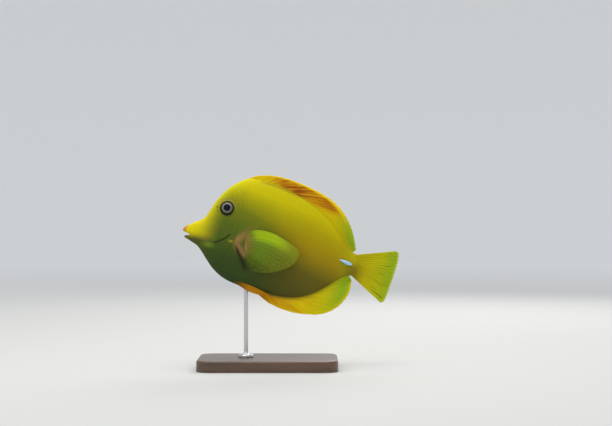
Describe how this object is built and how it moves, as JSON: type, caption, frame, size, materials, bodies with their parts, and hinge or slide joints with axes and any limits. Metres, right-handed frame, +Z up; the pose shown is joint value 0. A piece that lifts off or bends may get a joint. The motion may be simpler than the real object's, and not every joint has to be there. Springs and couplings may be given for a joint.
{
  "type": "yellow tang",
  "caption": "Life-size still model of a swimming yellow tang with fins half lowered, held nose up on a flat base by one slim upright rod.",
  "frame": {"origin": "centre of the base's underside, on the surface that the stand rests on", "axes": "+Z up; -X towards the fish's snout; -Y towards its left side; the fish is turned nose up about Y"},
  "size_m": [0.1522, 0.058, 0.1359],
  "materials": {
    "skin": "satin, finely scaled",
    "fin": "satin, ridged by rays",
    "clear_fin": "satin, thin and half clear",
    "eye": "wet gloss",
    "spine": "smooth, bone white",
    "base": "dark satin wood",
    "rod": "brushed"
  },
  "bodies": {
    "root": {"head": "skin", "trunk": "skin", "tail_root": "skin", "dorsal_fin": "fin", "anal_fin": "fin", "tail_fin": "fin", "pelvic_fin_left": "fin", "pelvic_fin_right": "fin", "pectoral_fin_left": "clear_fin", "pectoral_fin_right": "clear_fin", "eye_left": "eye", "eye_right": "eye", "tail_spine_left": "spine", "tail_spine_right": "spine", "stand_base": "base", "stand_rod": "rod"}
  },
  "joints": []
}
